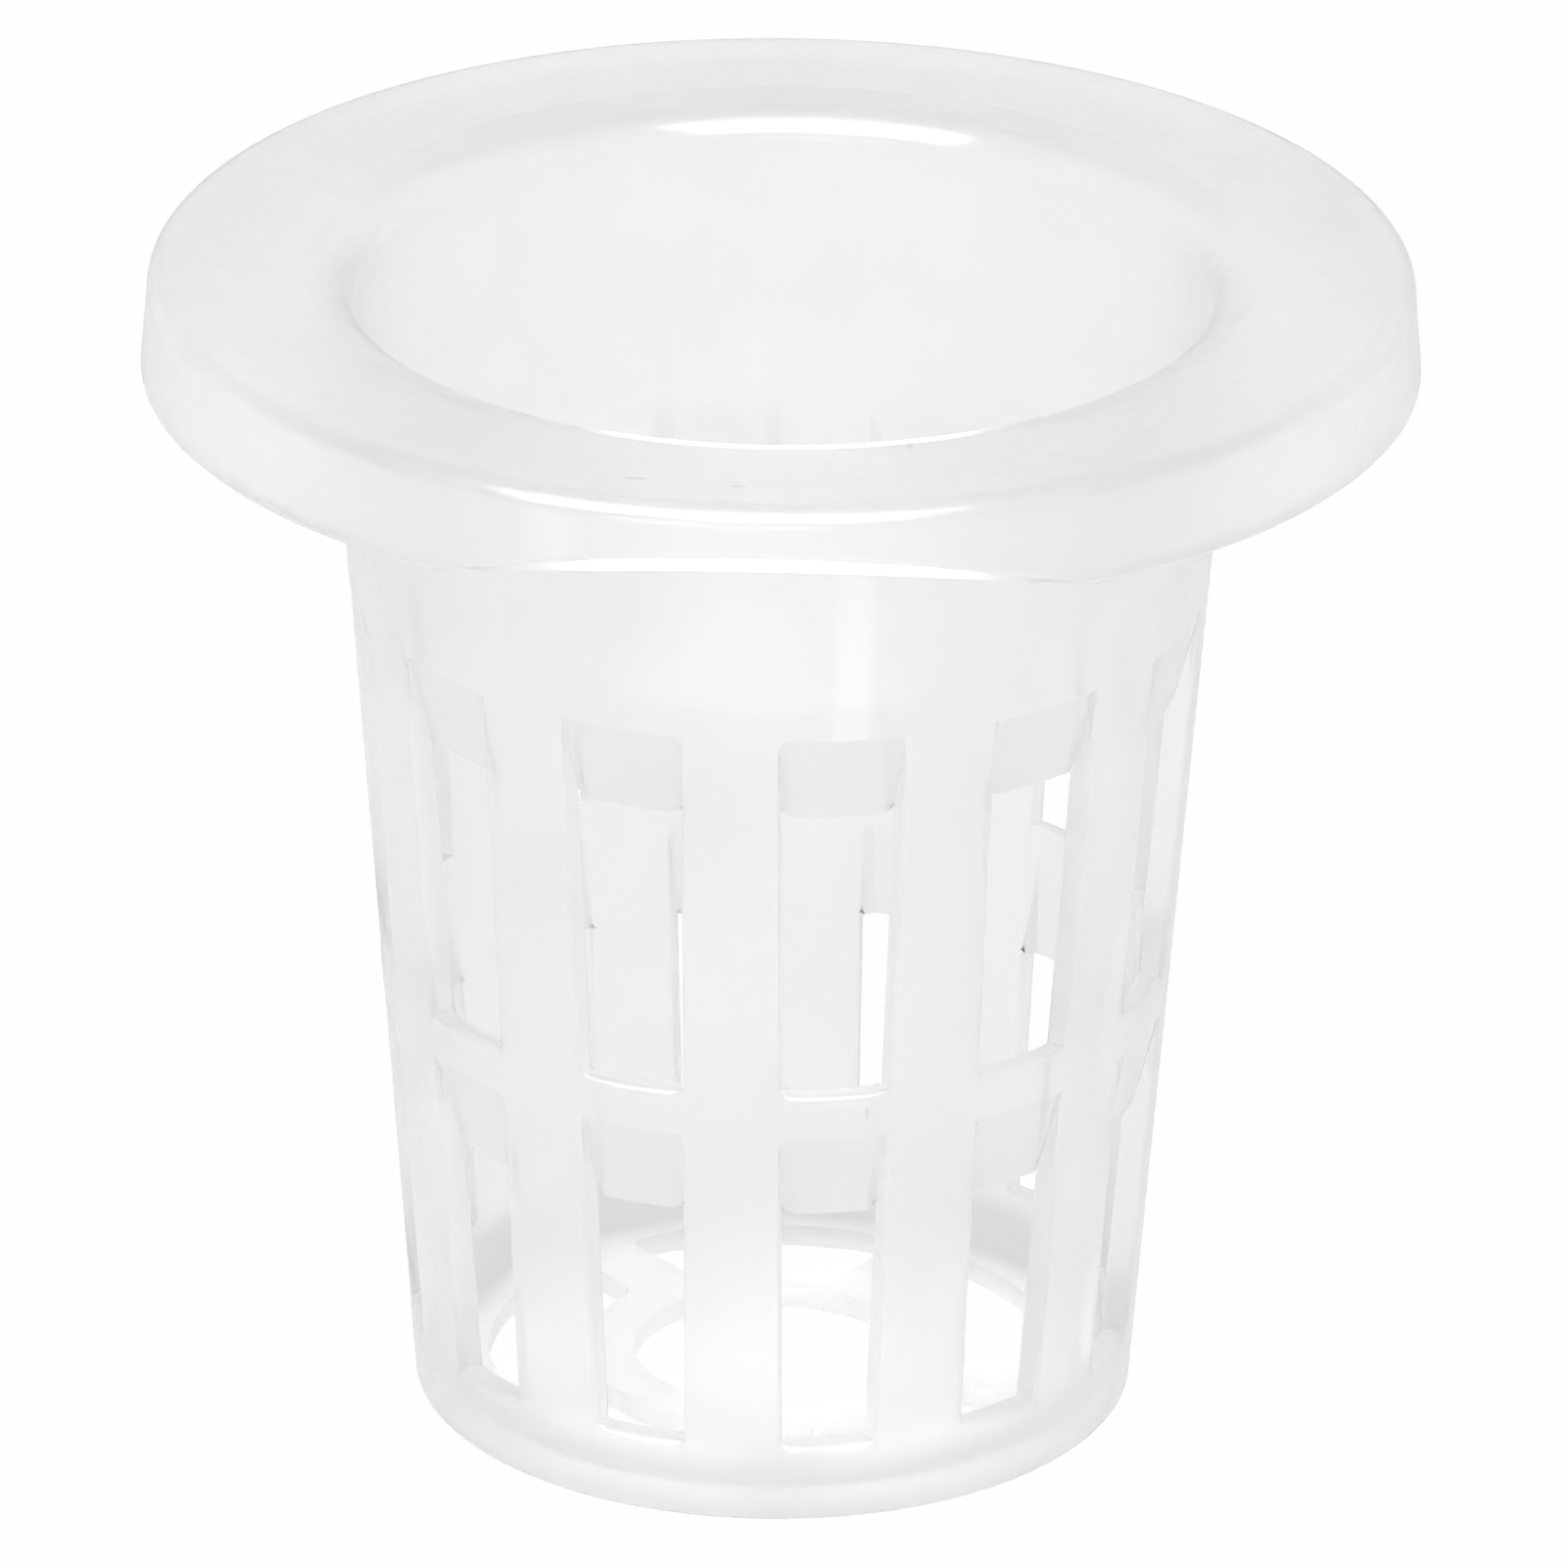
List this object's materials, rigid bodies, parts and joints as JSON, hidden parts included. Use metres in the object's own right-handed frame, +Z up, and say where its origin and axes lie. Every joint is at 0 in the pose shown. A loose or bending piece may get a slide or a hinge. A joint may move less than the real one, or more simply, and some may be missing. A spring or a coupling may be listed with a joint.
{
  "type": "hydroponic net pot",
  "caption": "Small tapered net pot with slotted walls, a wide flange with a turned-down skirt and a lifting notch, hung by its rim in a round panel hole to hold a plant.",
  "frame": {"origin": "centre of the underside, on the pot's axis", "axes": "+Z up along the pot's axis towards the rim, -Y towards the middle of the rim's notch"},
  "size_m": [0.045, 0.0448, 0.0428],
  "materials": {
    "natural_plastic": "milky natural polypropylene, translucent, soft gloss"
  },
  "bodies": {
    "root": {"net_pot": "natural_plastic"}
  },
  "joints": []
}
